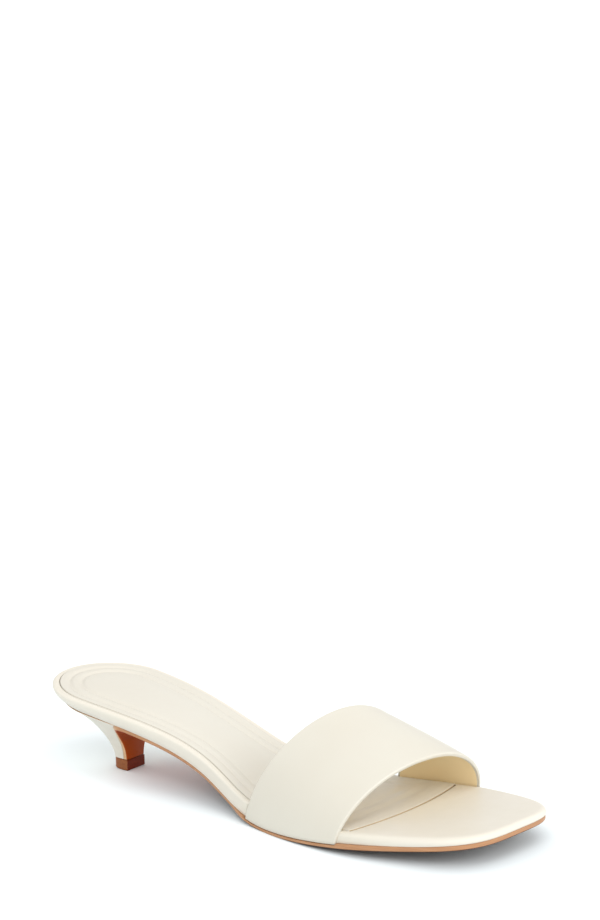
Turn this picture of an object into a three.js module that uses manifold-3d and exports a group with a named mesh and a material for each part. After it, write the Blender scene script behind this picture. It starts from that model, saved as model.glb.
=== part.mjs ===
// A kitten heel mule, the right shoe of its pair: one wide strap over a footbed wrapped in
// leather, a thin leather outsole that turns down the front of a comma heel, and a heel tip.
// Units are millimetres. The shoe is drawn with the back of the heel seat at x = 0, +X towards
// the toe, +Y towards the inner (big toe) side, +Z up and the floor at z = 0.
import * as THREE from 'three';
import Module from 'manifold-3d';
import { mergeVertices } from 'three/addons/utils/BufferGeometryUtils.js';

const wasm = await Module();
wasm.setup();

// Plan of the footbed
const LENGTH = 248;
const HEEL_WIDTH = 58.5;
const WAIST_WIDTH = 49;
const BALL_WIDTH = 82.5;
const TOE_WIDTH = 59;
const HEEL_ROUND = 27; // length of the round end at the back
const TOE_CORNER = 38; // length over which the square toe is rounded
const TOE_SQUARENESS = 4;
const TOE_SLANT = 0.06; // how far the inner corner of the toe runs ahead, per mm of its width

// Side view
const HEEL_RISE = 31.7; // top of the footbed at the back, over its top at the ball
const TOE_SPRING = 7.1; // top of the footbed at the toe, over its top at the ball
const BALL_SHARE = 0.6; // where along the length the ball meets the floor
const BALL_FLAT = 0.45; // how deep the outsole is flattened by the floor there

// Layers
const GAP = 0.3; // between two pieces that are glued together
const FOOTBED_THICKNESS = 6.8; // height of the footbed's side at the arch
const FOOTBED_TUCK = 4.4; // how far the footbed's side turns in below the heel
const BALL_TUCK = 0.3; // the same at the ball and the toe
const RIM_ROUND = 1.2;
const OUTSOLE_ARCH = 1.8;
const OUTSOLE_BALL = 2.4;
const OUTSOLE_BEVEL = 0.5;
const SOCK_THICKNESS = 1.2;
const SOCK_PROUD = 0.4; // how far the sock stands over the rim
const SOCK_INSET = 3; // rim left bare around the sock
const SOCK_FRONT = 187.5; // where the sock ends at its sides
const SOCK_BOW = 3.5; // how far its front edge bows towards the toe

// Strap
const STRAP_WALL = 2;
const STRAP_PROUD = 1; // how far the strap stands out from the footbed's outline at its ends
const STRAP_REAR_HEIGHT = 45.9; // top of the rear edge over the strap's ends
const STRAP_FRONT_HEIGHT = 28.7;
const STRAP_BULGE = 1.1;
const STRAP_EDGE = 0.6; // rounding of its folded edges

// Heel
const TOP_PIECE = 5;
const TIP_LENGTH = 9.7;
const TIP_WIDTH = 11.9;
const TIP_OFFSET = -1.7; // centre of the tip, towards the outer side
const TIP_SQUARENESS = 3;
const TIP_BEVEL = 0.4;
const BREAST = 40.7; // front of the heel at its tip
const BREAST_FLAP = 2.3; // outsole leather on the front of the heel
const BREAST_ROUND = 12; // how the front of the heel sweeps forward into the seat
const SEAT_INSET = 3.7; // top of the heel block, in from the footbed's outline
const BACK_FLARE = 1.5; // how late the heel widens towards its seat at the back
const OUTER_FLARE = 1.9;
const INNER_FLARE = 2.1;

// How finely the curved faces are divided
const FIRST_ANGLE = 0.09; // where the round heel starts, as an angle from its very back
const TOE_END = 0.035; // where the toe stops short of its tip, as a share of its corner
const HEEL_ROWS = 24;
const HEEL_COLUMNS = 41;
const STRAP_STEPS = 40;
const STRAP_LANES = 8;
const BEND_STEPS = 8;

const CREAM = 0xf0e9d8;
const TAN = 0xb9794c;
const BROWN = 0x6e3a20;

// Half widths as shares of the width in the same row, on the outer and the inner side
const PLAN = [
  { at: 0.0, width: HEEL_WIDTH, outer: 0.480, inner: 0.515 },
  { at: 0.12, width: HEEL_WIDTH, outer: 0.491, inner: 0.518 },
  { at: 0.22, width: HEEL_WIDTH, outer: 0.462, inner: 0.480 },
  { at: 0.32, width: WAIST_WIDTH, outer: 0.500, inner: 0.502 },
  { at: 0.42, width: WAIST_WIDTH, outer: 0.526, inner: 0.488 },
  { at: 0.52, width: BALL_WIDTH, outer: 0.398, inner: 0.367 },
  { at: 0.62, width: BALL_WIDTH, outer: 0.474, inner: 0.456 },
  { at: 0.72, width: BALL_WIDTH, outer: 0.501, inner: 0.496 },
  { at: 0.82, width: BALL_WIDTH, outer: 0.479, inner: 0.491 },
  { at: 0.92, width: TOE_WIDTH, outer: 0.588, inner: 0.590 },
  { at: 1.0, width: TOE_WIDTH, outer: 0.510, inner: 0.494 },
];

// Top of the footbed as shares of the heel's rise and of the toe spring, and the height of its
// side as a share of its thickness
const PROFILE = [
  { at: 0.0, rise: 1.0, spring: 0.0, side: 0.963 },
  { at: 0.1, rise: 0.905, spring: 0.0, side: 0.975 },
  { at: 0.2, rise: 0.798, spring: 0.0, side: 0.985 },
  { at: 0.3, rise: 0.64, spring: 0.0, side: 0.99 },
  { at: 0.4, rise: 0.391, spring: 0.0, side: 1.0 },
  { at: 0.5, rise: 0.088, spring: 0.0, side: 0.985 },
  { at: 0.6, rise: 0.0, spring: 0.0, side: 0.885 },
  { at: 0.7, rise: 0.0, spring: 0.1, side: 0.755 },
  { at: 0.85, rise: 0.0, spring: 0.48, side: 0.565 },
  { at: 1.0, rise: 0.0, spring: 1.0, side: 0.4 },
];

// Where things change along the sole, as shares of its length
const THICKENING = { from: 0.45, to: 0.62 }; // the outsole, from the arch to the ball
const UNTUCKING = { from: 0.06, to: 0.5 }; // the footbed's side, from turned in to upright
const FOOT_ROOM = { before: 0.05, after: 0.15 }; // the outsole's ledge fades beyond the strap
const SIDE_TURN = 1.8; // how late the footbed's side turns in on its way down

// The strap's two edges: where each starts (outer side) and ends (inner side) as shares of the
// length, its height, how far it leans forward per mm of height, and how full its arch is
// sideways and upwards on either side
const STRAP_EDGES = [
  {
    start: 0.52, end: 0.629, height: STRAP_REAR_HEIGHT, lean: 0.35,
    sideways: [1.06, 1.02], upwards: [0.86, 0.98],
  },
  {
    start: 0.738, end: 0.797, height: STRAP_FRONT_HEIGHT, lean: 0.36,
    sideways: [0.92, 0.95], upwards: [0.96, 1.12],
  },
];

const { lerp, smoothstep } = THREE.MathUtils;

// A natural cubic spline through one column of a table, as a function of the share along it
function curve(rows, column) {
  const t = rows.map((row) => row.at);
  const v = rows.map(column);
  const last = t.length - 1;
  const bend = t.map(() => 0);
  const carry = t.map(() => 0);
  for (let i = 1; i < last; i += 1) {
    const before = t[i] - t[i - 1];
    const after = t[i + 1] - t[i];
    const pivot = 2 * (before + after) - before * carry[i - 1];
    const turn = (v[i + 1] - v[i]) / after - (v[i] - v[i - 1]) / before;
    carry[i] = after / pivot;
    bend[i] = (6 * turn - before * bend[i - 1]) / pivot;
  }
  for (let i = last - 1; i > 0; i -= 1) bend[i] -= carry[i] * bend[i + 1];
  return (share) => {
    const s = THREE.MathUtils.clamp(share, t[0], t[last]);
    const i = Math.max(0, t.findIndex((value) => value >= s) - 1);
    const step = t[i + 1] - t[i];
    const b = (s - t[i]) / step;
    const a = 1 - b;
    const sag = ((a ** 3 - a) * bend[i] + (b ** 3 - b) * bend[i + 1]) * step * step / 6;
    return a * v[i] + b * v[i + 1] + sag;
  };
}

const outerWidth = curve(PLAN, (row) => row.width * row.outer);
const innerWidth = curve(PLAN, (row) => row.width * row.inner);
const rise = curve(PROFILE, (row) => row.rise);
const spring = curve(PROFILE, (row) => row.spring);
const sideShare = curve(PROFILE, (row) => row.side);

const footbedThickness = (share) => FOOTBED_THICKNESS * sideShare(share);
const fade = (share, { from, to }) => smoothstep(share, from, to);
const outsoleThickness = (share) => lerp(OUTSOLE_ARCH, OUTSOLE_BALL, fade(share, THICKENING));
const BALL_STACK = footbedThickness(BALL_SHARE) + GAP + OUTSOLE_BALL - BALL_FLAT;

// Heights over the floor at a place along the shoe
const footbedTop = (x) => BALL_STACK + HEEL_RISE * rise(x / LENGTH) + TOE_SPRING * spring(x / LENGTH);
const footbedUnder = (x) => footbedTop(x) - footbedThickness(x / LENGTH);
const outsoleTop = (x) => footbedUnder(x) - GAP;
const outsoleUnder = (x) => Math.max(0, outsoleTop(x) - outsoleThickness(x / LENGTH));
const footbedTuck = (share) => lerp(FOOTBED_TUCK, BALL_TUCK, fade(share, UNTUCKING));

// A point of the outline, moved in by inset; side is -1 for outer and 1 for inner
function outline(share, side, inset) {
  const heelShare = HEEL_ROUND / LENGTH;
  const cornerShare = TOE_CORNER / LENGTH;
  const back = Math.max(0, 1 - share / heelShare);
  const front = Math.max(0, (share - 1 + cornerShare) / cornerShare);
  const taper = Math.sqrt(1 - back ** 2) * (1 - front ** TOE_SQUARENESS) ** (1 / TOE_SQUARENESS);
  const width = side < 0 ? outerWidth(share) : innerWidth(share);
  const y = side * (width - inset) * taper;
  const x = inset + (LENGTH - 2 * inset) * share + TOE_SLANT * y * front ** 2;
  return { x, y };
}

// Shares along the length, closer together at the round heel and at the corners of the toe
function shares(start, heelSteps, middleSteps, toeSteps) {
  const heelShare = HEEL_ROUND / LENGTH;
  const cornerShare = TOE_CORNER / LENGTH;
  const list = [];
  for (let i = 0; i < heelSteps; i += 1) {
    const angle = lerp(FIRST_ANGLE, Math.PI / 2, i / heelSteps);
    list.push(heelShare * (1 - Math.cos(angle)));
  }
  for (let i = 0; i < middleSteps; i += 1) {
    list.push(lerp(Math.max(start, heelSteps ? heelShare : start), 1 - cornerShare, i / middleSteps));
  }
  for (let i = 0; i <= toeSteps; i += 1) {
    const left = lerp(1, TOE_END, i / toeSteps);
    list.push(1 - cornerShare * left ** 2);
  }
  return list;
}

// Triangles between rings of points, each the same length and mirrored left to right, closed at
// both ends
function loft(rings) {
  const size = rings[0].length;
  const positions = rings.flat().flatMap((point) => [point.x, point.y, point.z]);
  const index = [];
  for (let r = 0; r + 1 < rings.length; r += 1) {
    for (let i = 0; i < size; i += 1) {
      const a = r * size + i;
      const b = r * size + (i + 1) % size;
      index.push(a, b, b + size, a, b + size, a + size);
    }
  }
  const end = (rings.length - 1) * size;
  for (let i = 0; i + 1 < size / 2; i += 1) {
    const mirrored = size - 1 - i;
    index.push(i, mirrored, mirrored - 1, i, mirrored - 1, i + 1);
    index.push(end + i, end + mirrored - 1, end + mirrored, end + i, end + i + 1, end + mirrored - 1);
  }
  return solid(positions, index);
}

// A closed mesh as a solid, turned right side out if need be
function solid(positions, index) {
  const build = (triVerts) => new wasm.Manifold(new wasm.Mesh({
    numProp: 3,
    vertProperties: new Float32Array(positions),
    triVerts: new Uint32Array(triVerts),
  }));
  const made = build(index);
  if (made.volume() > 0) return made;
  const flipped = [];
  for (let i = 0; i < index.length; i += 3) flipped.push(index[i], index[i + 2], index[i + 1]);
  return build(flipped);
}

// A ring across the shoe from one side's points, outer side first
function across(share, levels) {
  const side = (sign) => levels.map((level) => {
    const { x, y } = outline(share, sign, level.inset);
    return new THREE.Vector3(x, y, level.height(x));
  });
  return [...side(-1), ...side(1).reverse()];
}

// The footbed's section: round rim, side that turns in, flat top and underside
function footbedRing(share) {
  const rim = [0, 30, 60, 90].map((degrees) => {
    const angle = THREE.MathUtils.degToRad(degrees);
    return {
      inset: RIM_ROUND * (1 - Math.sin(angle)),
      height: (x) => footbedTop(x) - RIM_ROUND * (1 - Math.cos(angle)),
    };
  });
  const side = [0.35, 0.6, 0.82, 1].map((depth) => ({
    inset: footbedTuck(share) * depth ** SIDE_TURN,
    height: (x) => lerp(footbedTop(x) - RIM_ROUND, footbedUnder(x), depth),
  }));
  return across(share, [...rim, ...side]);
}

// A flat layer that follows the top of the footbed
function inlay(inset, low, high, chamfer) {
  const levels = [
    { inset, height: (x) => footbedTop(x) + low },
    { inset, height: (x) => footbedTop(x) + high - chamfer },
    { inset: inset + chamfer, height: (x) => footbedTop(x) + high },
  ];
  return loft(shares(0, 12, 26, 12).map((share) => across(share, levels)));
}

// What lies ahead of the sock's bowed front edge
function aheadOfSock(clearance) {
  const front = SOCK_FRONT + clearance;
  const shape = new THREE.Shape();
  shape.moveTo(front, -BALL_WIDTH);
  shape.lineTo(front, -BALL_WIDTH / 2);
  shape.quadraticCurveTo(front + 2 * SOCK_BOW, 0, front, BALL_WIDTH / 2);
  shape.lineTo(front, BALL_WIDTH);
  shape.lineTo(LENGTH * 2, BALL_WIDTH);
  shape.lineTo(LENGTH * 2, -BALL_WIDTH);
  const geometry = new THREE.ExtrudeGeometry(shape, {
    depth: 4 * HEEL_RISE, bevelEnabled: false, curveSegments: 16,
  });
  geometry.translate(0, 0, -HEEL_RISE);
  geometry.deleteAttribute('normal');
  geometry.deleteAttribute('uv');
  const merged = mergeVertices(geometry);
  return solid(Array.from(merged.attributes.position.array), Array.from(merged.index.array));
}

const SOCK_LOW = SOCK_PROUD - SOCK_THICKNESS;

function makeSock() {
  const layer = inlay(SOCK_INSET, SOCK_LOW, SOCK_PROUD, SOCK_PROUD);
  return layer.subtract(aheadOfSock(0));
}

function sockPocket() {
  const layer = inlay(SOCK_INSET - GAP, SOCK_LOW - GAP, SOCK_THICKNESS, 0.1);
  return layer.subtract(aheadOfSock(GAP));
}

// One edge of the strap: the place at a share t of the way over, and its foot on either side
function strapEdge(v, t) {
  const [rear, front] = STRAP_EDGES;
  const between = (column) => lerp(column(rear), column(front), v);
  const foot = (share, side) => {
    const { x, y } = outline(share, side, -STRAP_PROUD);
    return new THREE.Vector3(x, y, footbedUnder(x));
  };
  const near = foot(between((edge) => edge.start), -1);
  const far = foot(between((edge) => edge.end), 1);
  const half = t < 0.5 ? 0 : 1;
  const angle = Math.PI * t;
  const sideways = Math.abs(Math.cos(angle)) ** between((edge) => edge.sideways[half]);
  const upwards = Math.max(0, Math.sin(angle)) ** between((edge) => edge.upwards[half]);
  const height = between((edge) => edge.height) * upwards;
  const place = near.clone().add(far).multiplyScalar(0.5);
  place.addScaledVector(far.clone().sub(near), (half ? 0.5 : -0.5) * sideways);
  place.x += between((edge) => edge.lean) * height;
  place.z += height;
  return place;
}

// The strap's outer face, v from the rear edge to the front and t from the outer foot to the
// inner; depth goes into its wall
function strapPoint(v, t, depth) {
  const step = 0.002;
  const a = Math.min(Math.max(t, step), 1 - step);
  const over = strapEdge(v, a + step).sub(strapEdge(v, a - step));
  const along = strapEdge(1, a).sub(strapEdge(0, a));
  const out = along.cross(over);
  if (t === 0 || t === 1) out.setZ(0); // its feet are cut level with the sole
  out.normalize();
  const bulge = STRAP_BULGE * 4 * v * (1 - v) * Math.sin(Math.PI * t) ** 1.5;
  return strapEdge(v, t).addScaledVector(out, bulge - depth);
}

// One ring around the strap's wall, made thicker and wider by grow
function strapRing(t, grow) {
  const width = strapEdge(0, t).distanceTo(strapEdge(1, t));
  const edge = STRAP_EDGE / width;
  const low = -grow / width;
  const high = 1 - low;
  const outer = [strapPoint(low, t, STRAP_EDGE - grow)];
  const inner = [strapPoint(low, t, STRAP_WALL - STRAP_EDGE + grow)];
  for (let i = 0; i <= STRAP_LANES; i += 1) {
    const v = lerp(low + edge, high - edge, i / STRAP_LANES);
    outer.push(strapPoint(v, t, -grow));
    inner.push(strapPoint(v, t, STRAP_WALL + grow));
  }
  outer.push(strapPoint(high, t, STRAP_EDGE - grow));
  inner.push(strapPoint(high, t, STRAP_WALL - STRAP_EDGE + grow));
  return [...outer, ...inner.reverse()];
}

// The strap, or with grow the room that it needs, which also reaches below its feet
function strapSolid(grow) {
  const rings = [];
  for (let i = 0; i <= STRAP_STEPS; i += 1) rings.push(strapRing(i / STRAP_STEPS, grow));
  if (grow > 0) {
    const lowered = (ring) => ring.map((point) => point.clone().setZ(point.z - FOOTBED_THICKNESS));
    rings.unshift(lowered(rings[0]));
    rings.push(lowered(rings[rings.length - 1]));
  }
  return loft(rings);
}

function makeFootbed() {
  const body = loft(shares(0, 14, 30, 16).map(footbedRing));
  return body.subtract(sockPocket()).subtract(strapSolid(GAP));
}

// The outsole reaches out to carry the strap's feet, and is level with the footbed elsewhere
function outsoleInset(share, sign) {
  const [rear, front] = STRAP_EDGES.map((edge) => (sign < 0 ? edge.start : edge.end));
  const begun = smoothstep(share, rear - FOOT_ROOM.before, rear);
  const room = begun * (1 - smoothstep(share, front, front + FOOT_ROOM.after));
  return lerp(footbedTuck(share), -STRAP_PROUD, room);
}

const shareAt = (x, inset) => (x - inset) / (LENGTH - 2 * inset);

// The bend between the front of the heel and the sole: its centre, where the sole's slope there
// leaves it, and a point on it at an angle from the back
const BEND_X = BREAST - BREAST_FLAP + BREAST_ROUND;
const BEND_SLOPE = (outsoleTop(BEND_X + 1) - outsoleTop(BEND_X - 1)) / 2;
const BEND_Z = outsoleTop(BEND_X) - BREAST_ROUND * Math.hypot(1, BEND_SLOPE);
const BEND_END = Math.PI / 2 - Math.atan(BEND_SLOPE);

function bendPoint(angle, radius) {
  return { x: BEND_X - radius * Math.cos(angle), z: BEND_Z + radius * Math.sin(angle) };
}

// The heel, from its tip at t = 0 to its seat under the footbed at t = 1; angle goes round the
// back from -90 degrees, the outer end of its front, to 90, the inner end
const TIP_TOP = TOP_PIECE + GAP;

function heelPoint(front, inset, angle, t) {
  const squared = (value) => Math.sign(value) * Math.abs(value) ** (2 / TIP_SQUARENESS);
  const depth = front - BREAST + TIP_LENGTH;
  const sign = Math.sign(angle);
  const tipX = front - depth * squared(Math.cos(angle));
  const tipY = TIP_OFFSET + TIP_WIDTH / 2 * squared(Math.sin(angle));
  const seat = outline(shareAt(front, inset) * (1 - Math.cos(angle)), sign, inset);
  const sideFlare = t ** (sign < 0 ? OUTER_FLARE : INNER_FLARE);
  return new THREE.Vector3(
    lerp(tipX, seat.x, t ** BACK_FLARE),
    lerp(tipY, seat.y, sideFlare),
    lerp(TIP_TOP, footbedUnder(seat.x) - GAP, t),
  );
}

// Angles round the heel's back, from the outer end of its front to the inner one
function heelAngles() {
  const angles = [];
  for (let c = 0; c <= HEEL_COLUMNS; c += 1) angles.push(Math.PI * (c / HEEL_COLUMNS - 0.5));
  return angles;
}

// How far forward the heel block reaches at a height: flat, then swept along the bend
function heelFront(z) {
  const radius = BREAST_ROUND + GAP;
  const rise = THREE.MathUtils.clamp(z - BEND_Z, 0, radius);
  return BEND_X - Math.sqrt(radius ** 2 - rise ** 2);
}

function makeHeel() {
  const rings = [];
  for (let r = 0; r <= HEEL_ROWS; r += 1) {
    const t = r / HEEL_ROWS;
    let front = heelFront(TIP_TOP);
    for (let i = 0; i < 4; i += 1) front = heelFront(lerp(TIP_TOP, footbedUnder(front) - GAP, t));
    rings.push(heelAngles().map((angle) => heelPoint(front, SEAT_INSET, angle, t)));
  }
  return loft(rings);
}

// A section of the outsole from its inner face (against the heel or the footbed) to its outer
// one, with a bevelled outer edge; a face is a place x, z in the side view
function outsoleSection(inner, outer, halfWidth) {
  const length = Math.hypot(outer.x - inner.x, outer.z - inner.z);
  const bevel = OUTSOLE_BEVEL / length;
  const shoulder = { x: lerp(outer.x, inner.x, bevel), z: lerp(outer.z, inner.z, bevel) };
  const half = (sign) => [
    new THREE.Vector3(inner.x, halfWidth(sign, inner, 0), inner.z),
    new THREE.Vector3(shoulder.x, halfWidth(sign, shoulder, 0), shoulder.z),
    new THREE.Vector3(outer.x, halfWidth(sign, outer, OUTSOLE_BEVEL), outer.z),
  ];
  return [...half(-1), ...half(1).reverse()];
}

// The sole's half width down the front of the heel, as wide as the heel's own front edge
function flapWidth(sign, place, bevel) {
  const inset = outsoleInset(shareAt(BREAST, FOOTBED_TUCK), sign) + bevel;
  const x = Math.max(place.x, BREAST - BREAST_FLAP);
  const top = outsoleTop(x);
  const t = THREE.MathUtils.clamp((place.z - TIP_TOP) / (top - TIP_TOP), 0, 1);
  const tip = TIP_OFFSET + sign * (TIP_WIDTH / 2 - bevel);
  const seat = outline(shareAt(x, inset), sign, inset).y;
  return lerp(tip, seat, t ** (sign < 0 ? OUTER_FLARE : INNER_FLARE));
}

// Sections down the front of the heel and round the bend, from the tip up
function flapSections() {
  const sections = [];
  const back = BREAST - BREAST_FLAP;
  for (let i = 0; i < BEND_STEPS; i += 1) {
    const z = lerp(TIP_TOP, BEND_Z, i / BEND_STEPS);
    sections.push(outsoleSection({ x: back, z }, { x: BREAST, z }, flapWidth));
  }
  for (let i = 0; i < BEND_STEPS; i += 1) {
    const angle = BEND_END * (i / BEND_STEPS);
    const thickness = lerp(BREAST_FLAP, OUTSOLE_ARCH, i / BEND_STEPS);
    const inner = bendPoint(angle, BREAST_ROUND);
    const outer = bendPoint(angle, BREAST_ROUND - thickness);
    sections.push(outsoleSection(inner, outer, flapWidth));
  }
  return sections;
}

// A section across the sole itself
function soleSection(share) {
  const half = (sign) => {
    const inset = outsoleInset(share, sign);
    const edge = outline(share, sign, inset);
    const foot = outline(share, sign, inset + OUTSOLE_BEVEL);
    return [
      new THREE.Vector3(edge.x, edge.y, outsoleTop(edge.x)),
      new THREE.Vector3(edge.x, edge.y, outsoleUnder(edge.x) + OUTSOLE_BEVEL),
      new THREE.Vector3(foot.x, foot.y, outsoleUnder(foot.x)),
    ];
  };
  return [...half(-1), ...half(1).reverse()];
}

function makeOutsole() {
  const start = shareAt(bendPoint(BEND_END, BREAST_ROUND).x, FOOTBED_TUCK);
  return loft([...flapSections(), ...shares(start, 0, 44, 16).map(soleSection)]);
}

function makeTopPiece() {
  const middle = BREAST - TIP_LENGTH / 2;
  const ring = (z, scale) => heelAngles().map((angle) => {
    const point = heelPoint(BREAST, SEAT_INSET, angle, 0);
    const x = lerp(middle, point.x, scale);
    return new THREE.Vector3(x, lerp(TIP_OFFSET, point.y, scale), z);
  });
  const narrow = 1 - 2 * TIP_BEVEL / TIP_WIDTH;
  return loft([ring(0, narrow), ring(TIP_BEVEL, 1), ring(TOP_PIECE, 1)]);
}

// A solid as a named mesh with flat faces
function mesh(name, made, color, roughness) {
  const { vertProperties, triVerts } = made.getMesh();
  const geometry = new THREE.BufferGeometry();
  geometry.setAttribute('position', new THREE.BufferAttribute(vertProperties, 3));
  geometry.setIndex(new THREE.BufferAttribute(triVerts, 1));
  geometry.computeVertexNormals();
  const material = new THREE.MeshStandardMaterial({ color, roughness, metalness: 0 });
  const named = new THREE.Mesh(geometry, material);
  named.name = name;
  return named;
}

const group = new THREE.Group();
group.add(
  mesh('outsole', makeOutsole(), TAN, 0.6),
  mesh('footbed', makeFootbed(), CREAM, 0.5),
  mesh('sock', makeSock(), CREAM, 0.5),
  mesh('strap', strapSolid(0), CREAM, 0.45),
  mesh('heel', makeHeel(), CREAM, 0.45),
  mesh('top_piece', makeTopPiece(), BROWN, 0.5),
);

// The origin goes to the middle of the shoe's box, on the floor
const box = new THREE.Box3().setFromObject(group);
const middle = box.getCenter(new THREE.Vector3());
group.position.set(-middle.x, -middle.y, -box.min.z);

export default group;
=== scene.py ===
"""A cream leather kitten heel mule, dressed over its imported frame.

The pieces are drawn in millimetres, with the back of the heel seat at x = 0, +X towards the
toe, +Y towards the foot's inner side and the floor at z = 0, as in the part's own source.
"""
import math

import bmesh
import bpy
import numpy as np
from mathutils import Matrix, Vector


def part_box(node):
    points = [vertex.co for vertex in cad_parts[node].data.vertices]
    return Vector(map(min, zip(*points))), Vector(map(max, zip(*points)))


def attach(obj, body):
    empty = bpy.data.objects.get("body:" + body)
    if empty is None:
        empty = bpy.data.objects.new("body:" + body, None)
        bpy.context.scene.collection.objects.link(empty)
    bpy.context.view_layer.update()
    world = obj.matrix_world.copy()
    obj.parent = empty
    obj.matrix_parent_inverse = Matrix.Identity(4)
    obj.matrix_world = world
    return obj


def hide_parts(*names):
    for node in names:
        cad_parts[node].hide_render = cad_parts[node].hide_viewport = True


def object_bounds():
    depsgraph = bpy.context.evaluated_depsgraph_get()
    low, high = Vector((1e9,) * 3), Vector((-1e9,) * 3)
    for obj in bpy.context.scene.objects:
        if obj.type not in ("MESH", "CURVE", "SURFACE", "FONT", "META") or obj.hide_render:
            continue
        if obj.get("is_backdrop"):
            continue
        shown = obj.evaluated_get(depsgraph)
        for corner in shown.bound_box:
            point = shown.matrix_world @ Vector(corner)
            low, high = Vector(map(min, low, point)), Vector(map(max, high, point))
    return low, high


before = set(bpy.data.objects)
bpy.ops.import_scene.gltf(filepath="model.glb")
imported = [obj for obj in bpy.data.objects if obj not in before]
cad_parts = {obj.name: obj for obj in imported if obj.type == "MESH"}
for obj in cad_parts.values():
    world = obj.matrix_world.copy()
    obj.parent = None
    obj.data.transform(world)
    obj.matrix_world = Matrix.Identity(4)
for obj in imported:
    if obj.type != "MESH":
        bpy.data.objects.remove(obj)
CAD_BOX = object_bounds()

MM = 0.001

# Plan of the footbed
LENGTH = 248.0
HEEL_WIDTH = 58.5
WAIST_WIDTH = 49.0
BALL_WIDTH = 82.5
TOE_WIDTH = 59.0
HEEL_SHARE = 27.0 / LENGTH
CORNER_SHARE = 38.0 / LENGTH
TOE_SQUARENESS = 4.0
TOE_SLANT = 0.06

# Side view
HEEL_RISE = 31.7
TOE_SPRING = 7.1
BALL_SHARE = 0.6
BALL_FLAT = 0.45

# Layers
GAP = 0.3
SEAM = 0.06  # what stays open where two dressed pieces meet
FOOTBED_THICKNESS = 6.8
FOOTBED_TUCK = 4.4
BALL_TUCK = 0.3
OUTSOLE_ARCH = 1.8
OUTSOLE_BALL = 2.4
SOCK_THICKNESS = 1.2
SOCK_PROUD = 0.4
SOCK_INSET = 3.0
SOCK_FRONT = 187.5
SOCK_BOW = 5.3

# Heel
TOP_PIECE = 5.0
TIP_LENGTH = 9.7
TIP_WIDTH = 11.9
TIP_OFFSET = -1.7
TIP_SQUARENESS = 3.0
BREAST = 40.7
BREAST_FLAP = 2.3
BREAST_ROUND = 12.0
SEAT_INSET = 3.7
BACK_FLARE = 1.5
OUTER_FLARE = 1.9
INNER_FLARE = 2.1

# Share along the length, width, and half widths as shares of it on the outer and inner side
PLAN = [
    (0.0, HEEL_WIDTH, 0.480, 0.515),
    (0.12, HEEL_WIDTH, 0.491, 0.518),
    (0.22, HEEL_WIDTH, 0.462, 0.480),
    (0.32, WAIST_WIDTH, 0.500, 0.502),
    (0.42, WAIST_WIDTH, 0.526, 0.488),
    (0.52, BALL_WIDTH, 0.398, 0.367),
    (0.62, BALL_WIDTH, 0.474, 0.456),
    (0.72, BALL_WIDTH, 0.501, 0.496),
    (0.82, BALL_WIDTH, 0.479, 0.491),
    (0.92, TOE_WIDTH, 0.588, 0.590),
    (1.0, TOE_WIDTH, 0.510, 0.494),
]

# Share along the length, top of the footbed as shares of the heel's rise and of the toe
# spring, and the height of its side as a share of its thickness
PROFILE = [
    (0.0, 1.0, 0.0, 0.963),
    (0.1, 0.905, 0.0, 0.975),
    (0.2, 0.798, 0.0, 0.985),
    (0.3, 0.64, 0.0, 0.99),
    (0.4, 0.391, 0.0, 1.0),
    (0.5, 0.088, 0.0, 0.985),
    (0.6, 0.0, 0.0, 0.885),
    (0.7, 0.0, 0.1, 0.755),
    (0.85, 0.0, 0.48, 0.565),
    (1.0, 0.0, 1.0, 0.4),
]

# The strap's rear and front edge: where its outer and inner foot stand, its height, how far
# it leans forward, and how square its arch is to each side
STRAP_EDGES = {
    "outer foot": (0.52, 0.738),
    "inner foot": (0.629, 0.797),
    "height": (45.9, 28.7),
    "lean": (0.35, 0.36),
    "sideways, outer": (1.06, 0.92),
    "sideways, inner": (1.02, 0.95),
    "upwards, outer": (0.86, 0.96),
    "upwards, inner": (0.98, 1.12),
}
STRAP_WALL = 2.0
STRAP_PROUD = 1.0


# Small sums
def smooth(value, low, high):
    """0 below low, 1 above high, and an easy curve between."""
    t = np.clip((value - low) / (high - low), 0, 1)
    return t * t * (3 - 2 * t)


def lerp(a, b, t):
    return a + (b - a) * t


def softer_min(a, b, radius):
    """The smaller of a and b, with the corner between them rounded."""
    h = np.clip(0.5 + (b - a) / (2 * radius), 0, 1)
    return lerp(b, a, h) - radius * h * (1 - h)


def natural_spline(places, values):
    """A natural cubic spline through values at places, as a function."""
    t, v = np.array(places), np.array(values)
    step = np.diff(t)
    matrix = np.eye(len(t))
    right = np.zeros(len(t))
    for i in range(1, len(t) - 1):
        matrix[i, i - 1:i + 2] = step[i - 1], 2 * (step[i - 1] + step[i]), step[i]
        right[i] = 6 * ((v[i + 1] - v[i]) / step[i] - (v[i] - v[i - 1]) / step[i - 1])
    bend = np.linalg.solve(matrix, right)

    def at(place):
        s = np.clip(place, t[0], t[-1])
        i = np.clip(np.searchsorted(t, s) - 1, 0, len(t) - 2)
        b = (s - t[i]) / step[i]
        a = 1 - b
        sag = ((a ** 3 - a) * bend[i] + (b ** 3 - b) * bend[i + 1]) * step[i] ** 2 / 6
        return a * v[i] + b * v[i + 1] + sag

    return at


# The last: its plan and its layers, from which every piece takes its place
outer_width = natural_spline([r[0] for r in PLAN], [r[1] * r[2] for r in PLAN])
inner_width = natural_spline([r[0] for r in PLAN], [r[1] * r[3] for r in PLAN])
rise = natural_spline([r[0] for r in PROFILE], [r[1] for r in PROFILE])
spring = natural_spline([r[0] for r in PROFILE], [r[2] for r in PROFILE])
side_share = natural_spline([r[0] for r in PROFILE], [r[3] for r in PROFILE])

ARCH_TO_BALL = (0.45, 0.62)  # shares along which the sole thickens
TUCK_ENDS = (0.06, 0.5)  # shares along which the footbed's side grows upright


def footbed_thickness(share):
    return FOOTBED_THICKNESS * side_share(share)


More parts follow.
